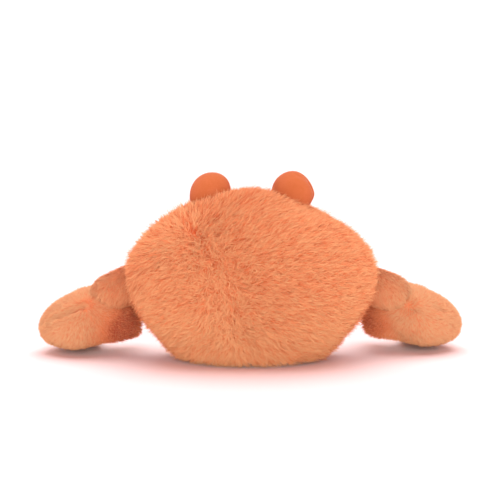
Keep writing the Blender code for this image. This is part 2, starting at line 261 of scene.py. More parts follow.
# The stage: the floor, the world's light, the suns by direction, spread and strength, the camera
WHITE = (1.0, 1.0, 1.0, 1.0)
# The floor's pink tint is painted light: it stands in for the crab's red light thrown into the floor's
# shadows, and clips to white where the floor is fully lit
FLOOR_COLOUR = (1.0, 0.94, 0.92)
FLOOR_GLOW = 0.02
FLOOR_HALF = 9.0
WORLD_LIGHT = (0.52, 0.075, 0.05)
BACKDROP_STRENGTH = 1.1
SUN_COLOUR = (0.9, 1.0, 1.05)
SUNS = {
    "top": ((0.05, 0.14, 1.0), 66.0, 2.45),
    "front": ((0.02, -1.0, 0.04), 60.0, 3.35),
    "back": ((0.0, 1.0, 0.55), 80.0, 1.25),
}
CAMERA_TARGET = (-0.0006, SEAM_Y, 0.0626)
CAMERA_ELEVATION = radians(8.0)
CAMERA_DISTANCE = 1.5
LENS_MM = 191.0
SENSOR_MM = 36.0


def to_world(places):
    """Carry places from the seam plane and the middle of the body to the frame."""
    return places + np.array((MIDDLE_X, SEAM_Y, 0.0))


def away_from_run(places, points):
    """The step to each place from the nearest point of a run of straight stretches."""
    points = to_world(points)
    nearest = np.full(len(places), np.inf)
    away = np.zeros_like(places)
    for start, end in zip(points[:-1], points[1:]):
        along = end - start
        share = np.clip(((places - start) @ along) / (along @ along), 0.0, 1.0)
        step = places - start - share[:, None] * along
        apart = (step ** 2).sum(axis=1)
        nearer = apart < nearest
        nearest[nearer] = apart[nearer]
        away[nearer] = step[nearer]
    return away


def bell(apart, width):
    """A bell curve: one at no distance, and 1/e at the width."""
    return np.exp(-(apart / width) ** 2)


def bell_around(places, middle, width):
    """A bell curve of each place's distance from a middle."""
    return np.exp(-(((places - middle) / width) ** 2).sum(axis=1))


def ease(share):
    """A smooth step from 0 to 1: three squares less two cubes."""
    return share * share * (3.0 - 2.0 * share)


def unit_rows(places):
    """Each row divided by its length."""
    return places / np.maximum(np.linalg.norm(places, axis=-1, keepdims=True), 1e-12)


def hashed(cells, seed):
    """Four even random numbers for each whole-number cell: its coordinates are multiplied by
    primes, joined by exclusive or, and stirred by shifts and products."""
    grid = cells.astype(np.int64).astype(np.uint64)
    mixed = grid[..., 0] * np.uint64(73856093)
    mixed ^= grid[..., 1] * np.uint64(19349663)
    mixed ^= grid[..., 2] * np.uint64(83492791)
    mixed ^= np.uint64(seed * 2654435761 % 2**32)
    for _ in range(3):
        mixed ^= mixed >> np.uint64(29)
        mixed *= np.uint64(0xBF58476D1CE4E5B9)
        mixed ^= mixed >> np.uint64(32)
    parts = [(mixed >> np.uint64(shift)) & np.uint64(0xFFFF) for shift in (0, 16, 32, 48)]
    return np.stack(parts, axis=-1).astype(float) / 65535.0


def soft_noise(places, size, seed):
    """Smooth noise from -1 to 1: random values at the corners of cubes, eased between them."""
    spot = places / size
    low = np.floor(spot)
    share = ease(spot - low)
    total = np.zeros(places.shape[:-1])
    for corner in np.ndindex(2, 2, 2):
        step = np.array(corner)
        weight = np.prod(np.where(step == 1, share, 1.0 - share), axis=-1)
        total += weight * hashed(low + step, seed)[..., 0]
    return total * 2.0 - 1.0


def nearest_tuft(places, size, seed):
    """The middle of the nearest tuft, of one strewn in each cube of a size, and its four random
    numbers."""
    home = np.floor(places / size)
    best = np.full(len(places), np.inf)
    middle = np.zeros_like(places)
    luck = np.zeros((len(places), 4))
    for corner in np.ndindex(3, 3, 3):
        cell = home + corner - 1.0
        random = hashed(cell, seed)
        there = (cell + random[:, :3]) * size
        apart = ((there - places) ** 2).sum(axis=1)
        nearer = apart < best
        best[nearer] = apart[nearer]
        middle[nearer] = there[nearer]
        luck[nearer] = hashed(cell, seed + 7)[nearer]
    return middle, luck


class Form:
    """A closed surface on a grid of rounds and rings, with both poles closed. Its shape function
    carries the points of a unit ball, whose poles lie on the given axis, to their places."""

    def __init__(self, rounds, rings, poles, shape):
        self.rounds = rounds
        self.rings = rings
        angle = np.linspace(0.0, 2.0 * pi, rounds, endpoint=False)
        step = np.linspace(-1.0, 1.0, rings + 1)
        height = pi / 2.0 * (step + RINGS_TO_SEAM * (step ** 3 - step))
        height_grid, angle_grid = np.meshgrid(height, angle, indexing="ij")
        along = np.sin(height_grid)
        first = np.cos(height_grid) * np.cos(angle_grid)
        second = np.cos(height_grid) * np.sin(angle_grid)
        order = {"X": (along, first, second), "Y": (second, along, first), "Z": (first, second, along)}
        self.unit = np.stack(order[poles], axis=-1)
        self.pole = "XYZ".index(poles)
        flat = self.unit.reshape(-1, 3)
        self.place = shape(flat).reshape(self.unit.shape)
        self.normal = self.grid_normals()
        outwards = (self.normal * (self.place - self.place.mean(axis=(0, 1)))).sum()
        if outwards < 0.0:
            self.unit = self.unit[:, ::-1]
            self.place = self.place[:, ::-1]
            self.normal = -self.normal[:, ::-1]

    def crease(self, runs):
        """Sink the surface along lines. Each run is (points, width, depth): the sink is the depth
        times a bell curve of the distance from the nearest stretch of the run."""
        flat = self.place.reshape(-1, 3)
        sink = np.zeros(len(flat))
        for points, width, depth in runs:
            apart = np.linalg.norm(away_from_run(flat, points), axis=1)
            sink += depth * bell(apart, width)
        self.sink(sink.reshape(self.place.shape[:2]))

    def seam(self, width, depth, stitches):
        """Sink the surface along its seam, midway between the poles, by a bell curve of the unit
        ball's height there, a little deeper at every stitch."""
        up = self.unit[..., self.pole]
        across = self.unit[..., (self.pole + 1) % 3]
        ahead = self.unit[..., (self.pole + 2) % 3]
        pucker = 1.0 + 0.3 * np.cos(stitches * np.arctan2(across, ahead))
        self.sink(depth * pucker * bell(up, width))

    def blend_with(self, gap):
        """Round off the hollow where another form meets this one, above a given height: the
        surface rises by the square of the blend less the distance to the other form, divided by
        four blends."""
        flat = self.place.reshape(-1, 3) - to_world(0.0)
        left = np.maximum(JOINT_BLEND - np.abs(gap(flat)), 0.0)
        high = np.clip((flat[:, 2] - JOINT_LOW) / JOINT_EASE, 0.0, 1.0)
        rise = high * left ** 2 / (4.0 * JOINT_BLEND)
        self.sink(-rise.reshape(self.place.shape[:2]))

    def stuffing(self, depth):
        """A closed surface at a depth below this one, on every other ring and round."""
        sheet = self.sunk(depth)[::2, ::2]
        rings, rounds = sheet.shape[0] - 1, sheet.shape[1]
        points = np.concatenate([sheet[:1, 0], sheet[1:-1].reshape(-1, 3), sheet[-1:, 0]])
        numbers = np.zeros((rings + 1, rounds), int)
        numbers[1:-1] = 1 + np.arange((rings - 1) * rounds).reshape(rings - 1, rounds)
        numbers[-1] = len(points) - 1
        after = np.roll(numbers, -1, axis=1)
        quads = np.stack([numbers[:-1], after[:-1], after[1:], numbers[1:]], axis=-1).reshape(-1, 4)
        return points.tolist(), quads.tolist()

    def grid_normals(self):
        """The outward normal at each point: the cross product of the steps to its neighbours
        round and along, and at a pole the mean of the ring next to it."""
        round_step = np.roll(self.place, -1, axis=1) - np.roll(self.place, 1, axis=1)
        along_step = np.gradient(self.place, axis=0)
        normal = unit_rows(np.cross(round_step, along_step))
        normal[0] = unit_rows(normal[1].mean(axis=0))
        normal[-1] = unit_rows(normal[-2].mean(axis=0))
        return normal

    def sunk(self, depth):
        """The surface moved inwards along its normals, by one depth or a depth for each point."""
        return self.place - self.normal * np.broadcast_to(depth, self.place.shape[:2])[..., None]

    def sink(self, depth):
        """Move this surface inwards along its normals by a depth for each point."""
        self.place = self.sunk(depth)
        self.normal = self.grid_normals()

    def corners(self, first, last):
        """The corner rows and columns of the quads between two rings."""
        grid = np.meshgrid(np.arange(first, last), np.arange(self.rounds), indexing="ij")
        ring, turn = (numbers.ravel() for numbers in grid)
        after = (turn + 1) % self.rounds
        rows = np.stack([ring, ring, ring + 1, ring + 1], axis=1)
        columns = np.stack([turn, after, after, turn], axis=1)
        return rows, columns

    def roots(self, skin, first, last, count, rng, weight=None):
        """Places strewn evenly over the skin between two rings, with the skin's normal there: a
        triangle is drawn by its area and a point in it by two random shares."""
        rows, columns = self.corners(first, last)
        pick = [(0, 1, 2), (0, 2, 3)]
        rows = np.concatenate([rows[:, part] for part in pick])
        columns = np.concatenate([columns[:, part] for part in pick])
        spots = skin[rows, columns]
        area = np.linalg.norm(np.cross(spots[:, 1] - spots[:, 0], spots[:, 2] - spots[:, 0]), axis=1)
        if weight is not None:
            area = area * weight(spots.mean(axis=1))
        drawn = np.searchsorted(np.cumsum(area) / area.sum(), rng.random(count))
        drawn = np.minimum(drawn, len(area) - 1)
        shares = rng.random((count, 2))
        over = shares.sum(axis=1) > 1.0
        shares[over] = 1.0 - shares[over]
        shares = np.concatenate([1.0 - shares.sum(axis=1, keepdims=True), shares], axis=1)
        root = (spots[drawn] * shares[:, :, None]).sum(axis=1)
        normals = self.normal[rows[drawn], columns[drawn]]
        return root, unit_rows((normals * shares[:, :, None]).sum(axis=1))

    def shell(self, outer, inner, first, last):
        """A closed shell between two rings: the outer sheet, the inner sheet turned round, and a
        rim at each open end. A ring that is a pole becomes one point."""
        points = []
        faces = []
        index = {}
        rows, columns = self.corners(first, last)
        for key, sheet in (("outer", outer), ("inner", inner)):
            numbers = np.zeros((self.rings + 1, self.rounds), int)
            for ring in range(first, last + 1):
                at_pole = ring in (0, self.rings)
                row = sheet[ring][:1] if at_pole else sheet[ring]
                numbers[ring] = len(points) + (0 if at_pole else np.arange(self.rounds))
                points.extend(row.tolist())
            index[key] = numbers
            quads = numbers[rows, columns]
            faces.extend(quads.tolist() if key == "outer" else quads[:, ::-1].tolist())
        for ring, flip in ((first, False), (last, True)):
            if ring in (0, self.rings):
                continue
            out_row = index["outer"][ring]
            in_row = index["inner"][ring]
            rim = np.stack([out_row, in_row, np.roll(in_row, -1), np.roll(out_row, -1)], axis=1)
            faces.extend((rim[:, ::-1] if flip else rim).tolist())
        return points, faces

    def halves(self, outer, inner):
        """The closed shells on the two sides of the seam."""
        half = self.rings // 2
        return self.shell(outer, inner, 0, half), self.shell(outer, inner, half, self.rings)


def linked(mesh, material):
    """An object at the origin for a mesh, linked to the scene."""
    mesh.materials.append(material)
    mesh.update()
    thing = bpy.data.objects.new(mesh.name, mesh)
    bpy.context.scene.collection.objects.link(thing)
    return thing


def mesh_object(name, points, faces, material):
    """A smooth mesh object. A corner that a face has twice, as at a pole, is kept once."""
    mesh = bpy.data.meshes.new(name)
    mesh.from_pydata(points, [], [list(dict.fromkeys(face)) for face in faces])
    mesh.shade_smooth()
    return linked(mesh, material)


def pile_object(name, root, normal, flow, lean, length, width, tint, style, material):
    """Pile as tapered ribbons. A ribbon leans from the skin's normal towards its flow, further at
    each step, swings a little from side to side, and is drawn to its tuft's middle towards its
    tip. Its width falls by the square of the way up. Its tint picks a column of the colour map,
    and the map's height runs from root to tip."""
    count = len(root)
    steps = style["steps"]
    middle, luck = nearest_tuft(root, style["tuft"], style["seed"])
    rng = np.random.default_rng(style["seed"])
    swing = style["swing"] * (luck[:, 0] * 2.0 - 1.0) + style["stray"] * rng.normal(size=count)
    phase = luck[:, 1] * 2.0 * pi
    lean = (lean + style["lean_luck"] * (luck[:, 2] * 2.0 - 1.0)
            + style["lean_stray"] * rng.normal(size=count))
    reach = length * (1.0 - style["uneven"] * rng.random(count)) * (0.85 + 0.3 * luck[:, 3])
    to_middle = middle - root
    to_middle -= normal * (to_middle * normal).sum(axis=1, keepdims=True)
    stations = [root]
    for step in range(steps):
        share = (step + 0.5) / steps
        turn = swing + style["wave"] * np.sin(phase + 4.0 * share)
        tilt = np.minimum(lean + style["curl"] * share, MOST_LEAN)
        way = turned(flow, normal, turn)
        way = normal * np.cos(tilt)[:, None] + way * np.sin(tilt)[:, None]
        stations.append(stations[-1] + way * (reach / steps)[:, None])
    for step in range(1, steps + 1):
        stations[step] = stations[step] + to_middle * (style["draw"] * (step / steps) ** 1.2)
        stations[step][:, 2] = np.maximum(stations[step][:, 2], FLOOR_CLEARANCE)
    roll = style["roll"] * (rng.random(count) * 2.0 - 1.0)
    points = []
    for step in range(steps):
        way = unit_rows(stations[step + 1] - stations[step])
        level = unit_rows(np.cross(way, normal))
        upright = np.cross(level, way)
        across = level * np.cos(roll)[:, None] + upright * np.sin(roll)[:, None]
        half = across * (width * (1.0 - 0.75 * (step / steps) ** 2) / 2.0)
        points += [stations[step] - half, stations[step] + half]
    points.append(stations[steps])
    per = 2 * steps + 1
    points = np.stack(points, axis=1).reshape(-1, 3)
    pattern = []
    for step in range(steps - 1):
        left, right, left_next, right_next = 2 * step, 2 * step + 1, 2 * step + 2, 2 * step + 3
        pattern += [(left, right, right_next), (left, right_next, left_next)]
    pattern.append((2 * steps - 2, 2 * steps - 1, 2 * steps))
    pattern = np.array(pattern)
    corners = (np.arange(count)[:, None, None] * per + pattern[None]).reshape(-1, 3)
    share = np.clip((tint - TINT_LOWEST) / (TINT_HIGHEST - TINT_LOWEST), 0.0, 0.999)
    column = (share * TINT_COLUMNS).astype(int)
    edge = np.array([0.1, 0.9] * steps + [0.5])
    height = np.array([step / steps for step in range(steps) for _ in range(2)] + [1.0])
    across_map = (column[:, None] + edge[None]) / TINT_COLUMNS
    up_map = np.broadcast_to(0.004 + 0.992 * height, across_map.shape)
    map_points = np.stack([across_map, up_map], axis=-1).reshape(-1, 2)
    mesh = bpy.data.meshes.new(name)
    mesh.vertices.add(len(points))
    mesh.vertices.foreach_set("co", points.astype(np.float32).ravel())
    mesh.loops.add(corners.size)
    mesh.loops.foreach_set("vertex_index", corners.astype(np.int32).ravel())
    mesh.polygons.add(len(corners))
    mesh.polygons.foreach_set("loop_start", np.arange(0, corners.size, 3, dtype=np.int32))
    mesh.polygons.foreach_set("use_smooth", np.ones(len(corners), bool))
    layer = mesh.uv_layers.new(name="OFBake")
    layer.data.foreach_set("uv", map_points[corners.ravel()].astype(np.float32).ravel())
    return linked(mesh, material)


def along_skin(way, normal):
    """A direction laid into the skin."""
    return unit_rows(way - normal * (way * normal).sum(axis=1, keepdims=True))


def turned(flow, normal, turn):
    """Directions in the skin, each turned about the normal by its own angle."""
    return flow * np.cos(turn)[:, None] + np.cross(normal, flow) * np.sin(turn)[:, None]


def pushed(places, pushes):
    """Places moved by bulges and dents. Each push is (middle, size, way): its way is scaled by a
    bell curve around its middle."""
    moved = places.copy()
    for middle, size, way in pushes:
        moved += bell_around(places, middle, size)[:, None] * way
    return moved


def press_on_floor(places):
    """Flatten what would reach below the floor."""
    return np.maximum(places, (-np.inf, -np.inf, 0.0))


def body_shape(unit):
    """The body: from the middle of its waist, each direction reaches the surface where the sum of
    its powered width, height and depth is one. The underside sags outwards, by the square of its
    lowness, and the floor presses it flat."""
    depth = np.where(unit[:, 1] < 0.0, BACK_DEPTH, FRONT_DEPTH)
    rise = np.where(unit[:, 2] > 0.0, CROWN_HEIGHT - WAIST_HEIGHT, BELLY_DROP)
    power = np.where(unit[:, 2] > 0.0, CROWN_POWER, BELLY_POWER)
    across = np.abs(unit[:, 0]) / (BODY_WIDTH / 2.0)
    upright = np.abs(unit[:, 2]) / rise
    outline = (across ** power + upright ** power) ** (1.0 / power)
    through = np.abs(unit[:, 1]) / depth
    reach = 1.0 / (outline ** DOME_POWER + through ** DOME_POWER) ** (1.0 / DOME_POWER)
    places = unit * reach[:, None]
    places[:, 2] += WAIST_HEIGHT
    low = np.clip(1.0 - places[:, 2] / SAG_HEIGHT, 0.0, 1.0)
    places[:, :2] *= (1.0 + SAG_SPREAD * low[:, None] ** 2)
    return to_world(press_on_floor(pushed(places, BODY_PUSHES)))


def claw_outline(angle):
    """How far a claw's seam lies from its middle: a rounded palm, a finger and a thumb that reach
    further, and a notch between them. The angle is from straight ahead, outwards."""
    ahead = np.maximum(np.cos(angle), 0.0)
    palm = 1.0 / np.sqrt((np.sin(angle) / CLAW_HALF_WIDTH) ** 2 + (np.cos(angle) / CLAW_HEEL) ** 2)
    finger = (FINGER_LENGTH - CLAW_HEEL) * bell(angle - FINGER_ANGLE, FINGER_HALF_ANGLE)
    thumb = (THUMB_LENGTH - CLAW_HEEL) * bell(angle - THUMB_ANGLE, FINGER_HALF_ANGLE)
    reach = palm + ahead * np.maximum(finger, thumb)
    notch = bell(angle - NOTCH_ANGLE, NOTCH_HALF_ANGLE)
    return reach + (NOTCH_FLOOR - reach) * notch


def claw_turn(side):
    """The turn of a claw: its toes a little inwards, its outer edge down and its tips down."""
    yaw = Matrix.Rotation(CLAW_YAW * side, 3, "Z")
    roll = Matrix.Rotation(CLAW_ROLL * side, 3, "Y")
    pitch = Matrix.Rotation(-CLAW_PITCH, 3, "X")
    return np.array(yaw @ roll @ pitch)


def claw_points(unit, side):
    """A claw about its own middle: the seam outline in plan, puffed up to its full thickness.
    The distance out and the height are powers, of PUFF_POWER, of the unit ball's."""
    angle = np.arctan2(unit[:, 0] * side, unit[:, 1])
    flat = np.hypot(unit[:, 0], unit[:, 1])
    reach = claw_outline(angle) * flat ** PUFF_POWER
    lift = CLAW_THICKNESS / 2.0 * np.sign(unit[:, 2]) * np.abs(unit[:, 2]) ** PUFF_POWER
    local = np.stack([reach * np.sin(angle) * side, reach * np.cos(angle), lift], axis=1)
    return local @ claw_turn(side).T


def claw_middle(side):
    """A claw's middle: it rests on the floor, pressed a little flat."""
    ball = Form(72, 24, "Z", lambda unit: claw_points(unit, side))
    lowest = ball.place[..., 2].min()
    back = LEFT_CLAW_BACK if side < 0 else 0.0
    out = BODY_WIDTH / 2.0 + CLAW_BESIDE_BODY
    return np.array([out * side, CLAW_AHEAD - back, -lowest - CLAW_PRESS])


def claw_shape(unit, side):
    """A claw in its place, pressed on the floor."""
    places = pushed(claw_points(unit, side) + claw_middle(side), CLAW_PUSHES[side])
    return to_world(press_on_floor(places))


def arm_ends(side):
    """An arm's two ends: inside the body's side, and inside the claw's heel."""
    out = BODY_WIDTH / 2.0 - ARM_ROOT_INSET
    root = np.array([out * side, ARM_ROOT_AHEAD, WAIST_HEIGHT - ARM_ROOT_DROP])
    wrist = claw_middle(side) + (-WRIST_IN * side, -WRIST_BACK, WRIST_UP)
    return root + ARM_ROOT_SHIFT[side], wrist + np.array(WRIST_SHIFT) * (side, 1.0, 1.0)


def arm_gap(places, side):
    """The distance of places from an arm's barrel: from its axis, less its radius."""
    root, wrist = arm_ends(side)
    along = wrist - root
    share = np.clip((places - root) @ along / (along @ along), 0.0, 1.0)
    radius = ARM_ROOT_RADIUS + (ARM_WRIST_RADIUS - ARM_ROOT_RADIUS) * share
    return np.linalg.norm(places - root - share[:, None] * along, axis=1) - radius


def claw_gap(places, side):
    """How far places are from a claw, along the line from its middle."""
    local = (places - claw_middle(side)) @ claw_turn(side)
    angle = np.arctan2(local[:, 0] * side, local[:, 1])
    flat = np.hypot(local[:, 0], local[:, 1]) / claw_outline(angle)
    lift = np.abs(local[:, 2]) / (CLAW_THICKNESS / 2.0)
    power = 2.0 / PUFF_POWER
    level = (flat ** power + lift ** power) ** (1.0 / power)
    return (1.0 - 1.0 / np.maximum(level, 1e-6)) * np.linalg.norm(local, axis=1)


def arm_shape(unit, side):
    """An arm: a barrel from root to wrist that tapers, with rounded ends."""
    root, wrist = arm_ends(side)
    along = (wrist - root) / np.linalg.norm(wrist - root)
    outward = (0.0, 0.0, 1.0) - along * along[2]
    outward = outward / np.linalg.norm(outward)
    across = np.cross(along, outward)
    share = (unit[:, 0] * side + 1.0) / 2.0
    radius = ARM_ROOT_RADIUS + (ARM_WRIST_RADIUS - ARM_ROOT_RADIUS) * share
    round_off = (1.0 - unit[:, 0] ** 4) ** 0.5 / np.maximum(np.hypot(unit[:, 1], unit[:, 2]), 1e-9)
    middle = root + share[:, None] * (wrist - root)
    ring = unit[:, 2:3] * outward + unit[:, 1:2] * across
    return to_world(middle + ring * (radius * round_off)[:, None])


def knob_shape(unit, side):
    """An eye knob: full-sided seen from behind, and a plain dome in depth."""
    outline = (np.abs(unit[:, 0] / (KNOB_WIDTH / 2.0)) ** KNOB_POWER
               + np.abs(unit[:, 2] / KNOB_HALF_HEIGHT) ** KNOB_POWER) ** (1.0 / KNOB_POWER)
    through = np.abs(unit[:, 1]) / (KNOB_DEPTH / 2.0)
    places = unit / np.sqrt(outline ** 2 + through ** 2)[:, None]
    places[:, 0] += KNOB_LEAN[side] * places[:, 2]
    turn = np.array(Matrix.Rotation(KNOB_TURN[side], 3, "Z"))
    middle = (KNOB_OUT * side, KNOB_AHEAD, KNOB_TOP - KNOB_HALF_HEIGHT)
    return to_world(pushed(places @ turn.T + middle, KNOB_PUSHES[side]))


def feed(node, values):
    """Set a node's inputs, by name or number, to plain values or other nodes' outputs."""
    for name, value in values.items():
        if isinstance(value, bpy.types.NodeSocket):
            node.id_data.links.new(value, node.inputs[name])
        else:
            node.inputs[name].default_value = value


def add_node(tree, kind, values):
    """A new shader node with its inputs fed."""
    node = tree.nodes.new("ShaderNode" + kind)
    feed(node, values)
    return node


def new_material(name, colour, roughness):
    """A material with a plain colour and roughness, and its surface shader."""
    material = bpy.data.materials.new(name)
    material.use_nodes = True
    material.diffuse_color = (*colour, 1.0)
    shader = material.node_tree.nodes["Principled BSDF"]
    feed(shader, {"Base Color": (*colour, 1.0), "Roughness": roughness})
    return material, shader


def colour_steps(tree, source, steps):
    """The colour of a ramp with the given (position, colour) stops, at the source's value."""
    ramp = add_node(tree, "ValToRGB", {"Fac": source})
    stops = ramp.color_ramp.elements
    stops.remove(stops[-1])
    stops[0].position = steps[0][0]
    stops[0].color = (*steps[0][1], 1.0)
    for position, colour in steps[1:]:
        stops.new(position).color = (*colour, 1.0)
    return ramp.outputs["Color"]


def colour_mix(tree, first, second, factor):
    """The mix of two colours by a factor."""
    mix = tree.nodes.new("ShaderNodeMix")
    mix.data_type = "RGBA"
    feed(mix, {"Factor": factor, "A": first, "B": second})
    return mix.outputs["Result"]


def pile_material(name, root, shade, deep, pale, sheen):
    """Pile: across its map the tint goes from shade over deep to pale, the shade colour serving for
    dark strands by chance and for painted shade. Up it the root's colour gives way to the tint by
    0.45, and the tip fades almost half way to pale: partly the fibre's paler tips, partly a painted
    highlight."""
    material, shader = new_material(name, deep, 0.75)
    tree = material.node_tree
    chart = tree.nodes.new("ShaderNodeUVMap")
    chart.uv_map = "OFBake"
    split = add_node(tree, "SeparateXYZ", {"Vector": chart.outputs["UV"]})
    deep_at = -TINT_LOWEST / (TINT_HIGHEST - TINT_LOWEST)
    none, most, full = ((share,) * 3 for share in (0.0, 0.45, 1.0))
    tint = colour_steps(tree, split.outputs["X"], [(0.0, shade), (deep_at, deep), (1.0, pale)])
    fade = colour_steps(tree, split.outputs["Y"], [(0.0, none), (0.45, full)])
    # The tip's fade to pale is partly the fibre's paler tips and partly a painted highlight
    ends = colour_steps(tree, split.outputs["Y"], [(0.55, none), (1.0, most)])
    fibre = colour_mix(tree, (*root, 1.0), tint, fade)
    feed(shader, {
        "Base Color": colour_mix(tree, fibre, (*pale, 1.0), ends),
        "Specular IOR Level": 0.25,
        "Sheen Weight": sheen,
        "Sheen Roughness": 0.45,
        "Sheen Tint": (1.0, 0.72, 0.5, 1.0),
    })
    return material


def cloth_material(name, deep, pale, size, bump, roughness=0.9, sheen=0.3):
    """Knitted backing or felt: four tenths of a coarse noise and six tenths of a fine one mix its
    colour, and the fine one raises its bump."""
    material, shader = new_material(name, deep, roughness)
    tree = material.node_tree
    place = tree.nodes.new("ShaderNodeTexCoord").outputs["Object"]
    coarse = add_node(tree, "TexNoise", {"Vector": place, "Scale": 1.0 / (size * 14.0), "Detail": 3.0})
    fine = add_node(tree, "TexNoise",
                    {"Vector": place, "Scale": 1.0 / size, "Detail": 4.0, "Roughness": 0.6})
    height = fine.outputs["Fac"]
    share = add_node(tree, "Math", {0: height, 1: 0.6})
    share.operation = "MULTIPLY"
    mean = add_node(tree, "Math", {0: coarse.outputs["Fac"], 1: 0.4, 2: share.outputs["Value"]})
    mean.operation = "MULTIPLY_ADD"
    raised = add_node(tree, "Bump", {"Strength": bump, "Distance": size, "Height": height})
    feed(shader, {
        "Base Color": colour_steps(tree, mean.outputs["Value"], [(0.3, deep), (0.7, pale)]),
        "Normal": raised.outputs["Normal"],
        "Specular IOR Level": 0.2,
        "Sheen Weight": sheen,
        "Sheen Roughness": 0.5,
    })
    return material


class CrabSizes(bpy.types.PropertyGroup):
    """Sizes of the crab's cloth."""

    long_pile: FloatProperty(name="Long pile", description="Length of the back's pile",
                             default=0.008, min=0.002, subtype="DISTANCE", unit="LENGTH")
    short_pile: FloatProperty(name="Short pile", description="Length of the face's and claws' pile",
                              default=0.0034, min=0.001, subtype="DISTANCE", unit="LENGTH")
    back_strands: IntProperty(name="Back strands", description="Ribbons in the back's pile",
                              default=100000, min=1000)
    front_strands: IntProperty(name="Front strands", description="Ribbons in the face's pile",
                               default=20000, min=1000)
    claw_strands: IntProperty(name="Claw strands", description="Ribbons in each claw's pile",
                              default=36000, min=1000)
    arm_strands: IntProperty(name="Arm strands", description="Ribbons in each arm's pile",
                             default=11000, min=1000)


def colour_setting(name, description, default):
    """A colour that the panel shows."""
    return FloatVectorProperty(name=name, description=description, default=default,
                               subtype="COLOR", min=0.0, max=1.0)


class CrabColours(bpy.types.PropertyGroup):
    """Colours of the crab's cloth."""

    pile_root: colour_setting("Pile root", "Colour at the foot of the pile", (0.92, 0.185, 0.052))
    # The darkest pile colour serves dark strands by chance and painted shade in clefts, seams, at the foot
    # and by the body
    pile_darkest_and_painted_shade: colour_setting("Pile shade", "Colour of the darkest pile", (0.47, 0.08, 0.028))
    pile_deep: colour_setting("Pile deep", "Deepest colour of the tips", (0.88, 0.236, 0.077))
    pile_pale: colour_setting("Pile pale", "Palest colour of the tips", (0.9, 0.53, 0.245))
    felt: colour_setting("Felt", "Colour of the eye knobs", (0.52, 0.146, 0.04))


def off_the_floor(depth):
    """How densely pile stands on a skin of that depth: a fifth as densely where it rests."""
    return lambda places: np.where(places[:, 2] < depth + 0.0003, 0.2, 1.0)


def add_panel(name, sheet, material, node):
    """A panel's backing, in place of its node in the CAD model."""
    panel = mesh_object(name, *sheet, material)
    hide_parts(node)
    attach(panel, "root")


def finish_node(node, material):
    """Give a CAD node one material."""
    node.data.materials.clear()
    node.data.materials.append(material)


def add_stuffing(name, form, depth):
    """The fibre inside a stuffed form, in place of its filling in the CAD model."""
    fibre = (bpy.data.materials.get("filling_fibre")
             or cloth_material("filling_fibre", *FIBRE_WHITE, 0.0015, 0.6))
    add_panel(name + "_stuffing", form.stuffing(depth), fibre, name + "_filling")


def add_pile(name, slot, *ribbons):
    """A panel's pile. It replaces nothing, since the backing stands for the panel."""
    pile = pile_object(name, *ribbons)
    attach(pile, "root")


def back_flow(root, normal, near):
    """The lie of the back's pile: away from the parting and a little down, turned by a broad and
    a fine noise, and by more of both near the parting."""
    away = away_from_run(root, BACK_PARTING)
    flow = along_skin(away * (1.0, 1.0, 0.75) + (0.0, 0.0, -0.003), normal)
    broad = (0.3 + 0.6 * near) * soft_noise(root, 0.016, 3)
    fine = (0.2 + 1.1 * near) * soft_noise(root, 0.005, 4)
    return turned(flow, normal, broad + fine)


def back_tint(root, near, rng):
    """The tint of the back's pile: its tufts and ribbons differ by chance, painted light makes it
    paler near the parting and low down, and painted shade makes it dark where it hangs over the
    belly at the sides of the foot."""
    _, luck = nearest_tuft(root, LONG_STYLE["tuft"], LONG_STYLE["seed"])
    tint = 0.46 + 0.6 * (luck[:, 3] - 0.5) * 2.0 + 0.26 * rng.normal(size=len(root))
    # Painted shade at the sides of the foot by the seam; painted light low down and near the parting
    at_waist = np.clip((root[:, 1] - SEAM_Y + 0.014) / 0.008, 0.0, 1.0)
    foot_painted_shade = at_waist * np.clip((0.044 - root[:, 2]) / 0.01, 0.0, 1.0)
    low = np.clip((0.045 - root[:, 2]) / 0.025, 0.0, 1.0)
    tint = tint - 0.6 * foot_painted_shade + 0.12 * near + 0.28 * low * (1.0 - foot_painted_shade)
    return tint + 0.06 * soft_noise(root, 0.01, 5)


def claw_flow(root, normal, seam_step, side):
    """The lie of a claw's pile: away from the gathers, and aside beside the creased seam."""
    away = unit_rows(root - to_world(CLAW_PINCH[side]))
    apart = np.linalg.norm(seam_step, axis=1, keepdims=True)
    away = away + 0.5 * unit_rows(seam_step) * bell(apart, 0.0022)
    return turned(along_skin(away, normal), normal, 0.45 * soft_noise(root, 0.01, 8))


def claw_tint(root, seam_step, pinch, side, rng):
    """The tint of a claw's pile, which differs by chance, with painted shade: darker in the creased seam,
    at the gathers and in the cleft.
    """
    tint = 0.74 + 0.13 * rng.normal(size=len(root)) + 0.1 * soft_noise(root, 0.006, 9)
    # Painted shade in the creased seam, at the gathers and in the cleft under the inner side
    seam_painted_shade = bell(np.linalg.norm(seam_step, axis=1), 0.0011)
    shaded = bell_around(root, to_world(CLAW_CLEFT[side]), CLEFT_REACH)
    return tint - 1.1 * seam_painted_shade - 0.3 * bell(pinch, PINCH_REACH) - CLEFT_SHADE[side] * shaded


